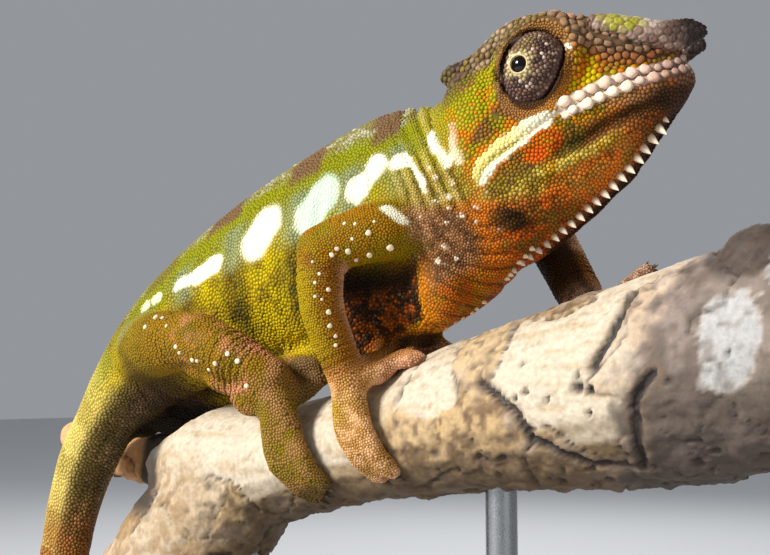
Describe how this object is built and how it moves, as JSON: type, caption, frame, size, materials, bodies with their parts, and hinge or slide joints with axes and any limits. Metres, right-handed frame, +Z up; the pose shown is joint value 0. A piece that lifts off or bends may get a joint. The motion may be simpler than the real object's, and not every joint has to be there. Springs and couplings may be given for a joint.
{
  "type": "chameleon on a bough",
  "caption": "Life-size panther chameleon gripping a dead bough with all four feet, tail coiled, held over a flat base by thin rods.",
  "frame": {"origin": "centre of the base's underside", "axes": "+X the way the body faces, +Y its left side, +Z up"},
  "size_m": [0.2601, 0.124, 0.2238],
  "materials": {
    "head_skin": "pebbled scales, olive and lime green with orange rust, white lip scales",
    "body_skin": "fine granular scales, yellow-green with olive and brown bars and a row of white flank patches",
    "limb_skin": "granular scales, golden olive to rust with scattered white tubercles",
    "horn_scales": "coarse grey-brown tubercles",
    "turret_skin": "dark brown granules with pale tips",
    "cornea": "wet black pupil",
    "claw_horn": "smooth horn",
    "dead_wood": "weathered, bone-white patches between cracked grey-brown bark",
    "base_paint": "fine satin powder coat",
    "rod_steel": "drawn, satin"
  },
  "bodies": {
    "root": {"casque": "head_skin", "claw_left_fore_1": "claw_horn", "claw_left_fore_2": "claw_horn", "claw_left_fore_3": "claw_horn", "claw_left_fore_4": "claw_horn", "claw_left_fore_5": "claw_horn", "claw_left_hind_1": "claw_horn", "claw_left_hind_2": "claw_horn", "claw_left_hind_3": "claw_horn", "claw_left_hind_4": "claw_horn", "claw_left_hind_5": "claw_horn", "claw_right_fore_1": "claw_horn", "claw_right_fore_2": "claw_horn", "claw_right_fore_3": "claw_horn", "claw_right_fore_4": "claw_horn", "claw_right_fore_5": "claw_horn", "claw_right_hind_1": "claw_horn", "claw_right_hind_2": "claw_horn", "claw_right_hind_3": "claw_horn", "claw_right_hind_4": "claw_horn", "claw_right_hind_5": "claw_horn", "eye_turret_left": "turret_skin", "eye_turret_right": "turret_skin", "eyeball_left": "cornea", "eyeball_right": "cornea", "forearm_left": "limb_skin", "forearm_right": "limb_skin", "forefoot_left_inner": "limb_skin", "forefoot_left_outer": "limb_skin", "forefoot_right_inner": "limb_skin", "forefoot_right_outer": "limb_skin", "head": "head_skin", "hindfoot_left_inner": "limb_skin", "hindfoot_left_outer": "limb_skin", "hindfoot_right_inner": "limb_skin", "hindfoot_right_outer": "limb_skin", "lower_jaw": "head_skin", "neck": "body_skin", "perch_bough": "dead_wood", "rostral_horn_left": "horn_scales", "rostral_horn_right": "horn_scales", "shank_left": "limb_skin", "shank_right": "limb_skin", "stand_base": "base_paint", "stand_rod_front": "rod_steel", "stand_rod_rear": "rod_steel", "tail_base": "body_skin", "tail_coil_inner": "body_skin", "tail_coil_outer": "body_skin", "tail_shaft": "body_skin", "thigh_left": "limb_skin", "thigh_right": "limb_skin", "trunk_front": "body_skin", "trunk_rear": "body_skin", "upper_arm_left": "limb_skin", "upper_arm_right": "limb_skin"}
  },
  "joints": []
}
